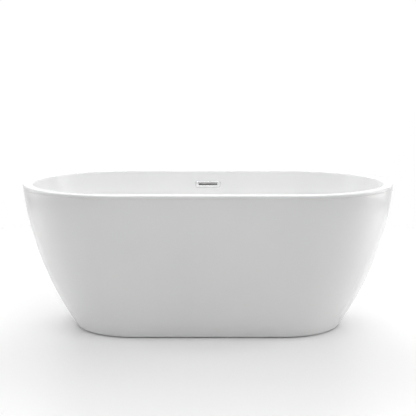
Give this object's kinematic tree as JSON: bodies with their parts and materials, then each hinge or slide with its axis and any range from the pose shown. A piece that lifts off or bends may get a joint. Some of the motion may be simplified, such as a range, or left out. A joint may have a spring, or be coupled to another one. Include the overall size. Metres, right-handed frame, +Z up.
{
  "type": "freestanding bathtub",
  "caption": "Oval double-skinned freestanding bathtub with a thin flat rim, slot overflow, press-to-close waste and levelling feet.",
  "frame": {"origin": "on the floor under the middle of the tub", "axes": "+X along the tub, +Y across it towards the overflow wall, +Z up"},
  "size_m": [1.4988, 0.75, 0.59],
  "materials": {
    "acrylic": "glossy white",
    "laminate": "rough glass-fibre laminate",
    "plywood": "bare plywood",
    "adhesive": "cured adhesive",
    "frame_steel": "galvanised satin",
    "zinc": "zinc plated",
    "plug_plastic": "moulded black",
    "pad_rubber": "matt black",
    "chrome": "polished",
    "brass": "machined",
    "spring_steel": "bright wire",
    "seal_rubber": "matt dark grey",
    "white_plastic": "moulded white",
    "pipe_plastic": "flexible grey"
  },
  "bodies": {
    "tub": {"basin": "acrylic", "basin_laminate": "laminate", "base_board": "plywood", "skirt": "acrylic", "rim_bond": "adhesive", "front_rail": "frame_steel", "rear_rail": "frame_steel", "rail_plugs": "plug_plastic", "board_screws": "zinc", "left_crossbar": "frame_steel", "centre_crossbar": "frame_steel", "right_crossbar": "frame_steel", "skirt_brackets": "frame_steel", "bracket_screws": "zinc", "weld_nuts": "frame_steel", "lock_nuts": "zinc", "strainer": "chrome", "strainer_seal": "seal_rubber", "waste_gasket": "seal_rubber", "waste_nut": "brass", "waste_tee": "white_plastic", "tail_nut": "white_plastic", "tailpiece": "white_plastic", "stopper_spring": "spring_steel", "overflow_bezel": "chrome", "overflow_gasket": "seal_rubber", "overflow_housing": "white_plastic", "overflow_nut": "white_plastic", "branch_nut": "white_plastic", "overflow_pipe": "pipe_plastic"},
    "stopper": {"stopper_cap": "chrome", "stopper_seal": "seal_rubber", "stopper_stem": "brass"},
    "front_left_pad": {"front_left_pad": "pad_rubber"},
    "front_left_stud": {"front_left_stud": "zinc"},
    "front_right_pad": {"front_right_pad": "pad_rubber"},
    "front_right_stud": {"front_right_stud": "zinc"},
    "rear_left_pad": {"rear_left_pad": "pad_rubber"},
    "rear_left_stud": {"rear_left_stud": "zinc"},
    "rear_right_pad": {"rear_right_pad": "pad_rubber"},
    "rear_right_stud": {"rear_right_stud": "zinc"},
    "centre_pad": {"centre_pad": "pad_rubber"},
    "centre_stud": {"centre_stud": "zinc"}
  },
  "joints": [
    {"name": "front_left_lower", "type": "slide", "parent": "tub", "child": "front_left_pad", "axis": [0, 0, -1], "range_m": [0, 0.02]},
    {"name": "front_left_turn", "type": "hinge", "parent": "front_left_pad", "child": "front_left_stud", "pos_m": [-0.32, -0.165, 0.02], "axis": [0, 0, -1], "range_deg": [0, 4115]},
    {"name": "front_right_lower", "type": "slide", "parent": "tub", "child": "front_right_pad", "axis": [0, 0, -1], "range_m": [0, 0.02]},
    {"name": "front_right_turn", "type": "hinge", "parent": "front_right_pad", "child": "front_right_stud", "pos_m": [0.32, -0.165, 0.02], "axis": [0, 0, -1], "range_deg": [0, 4115]},
    {"name": "rear_left_lower", "type": "slide", "parent": "tub", "child": "rear_left_pad", "axis": [0, 0, -1], "range_m": [0, 0.02]},
    {"name": "rear_left_turn", "type": "hinge", "parent": "rear_left_pad", "child": "rear_left_stud", "pos_m": [-0.32, 0.165, 0.02], "axis": [0, 0, -1], "range_deg": [0, 4115]},
    {"name": "rear_right_lower", "type": "slide", "parent": "tub", "child": "rear_right_pad", "axis": [0, 0, -1], "range_m": [0, 0.02]},
    {"name": "rear_right_turn", "type": "hinge", "parent": "rear_right_pad", "child": "rear_right_stud", "pos_m": [0.32, 0.165, 0.02], "axis": [0, 0, -1], "range_deg": [0, 4115]},
    {"name": "centre_lower", "type": "slide", "parent": "tub", "child": "centre_pad", "axis": [0, 0, -1], "range_m": [0, 0.02]},
    {"name": "centre_turn", "type": "hinge", "parent": "centre_pad", "child": "centre_stud", "pos_m": [-0.11, 0, 0.02], "axis": [0, 0, -1], "range_deg": [0, 4115]},
    {"name": "stopper_press", "type": "slide", "parent": "tub", "child": "stopper", "axis": [0, 0, 1], "range_m": [-0.01, 0], "deforming": ["stopper_spring"]}
  ],
  "couplings": [
    {"joint": "front_left_turn", "follows": "front_left_lower", "rad_per_m": 3590.4},
    {"joint": "front_right_turn", "follows": "front_right_lower", "rad_per_m": 3590.4},
    {"joint": "rear_left_turn", "follows": "rear_left_lower", "rad_per_m": 3590.4},
    {"joint": "rear_right_turn", "follows": "rear_right_lower", "rad_per_m": 3590.4},
    {"joint": "centre_turn", "follows": "centre_lower", "rad_per_m": 3590.4}
  ]
}
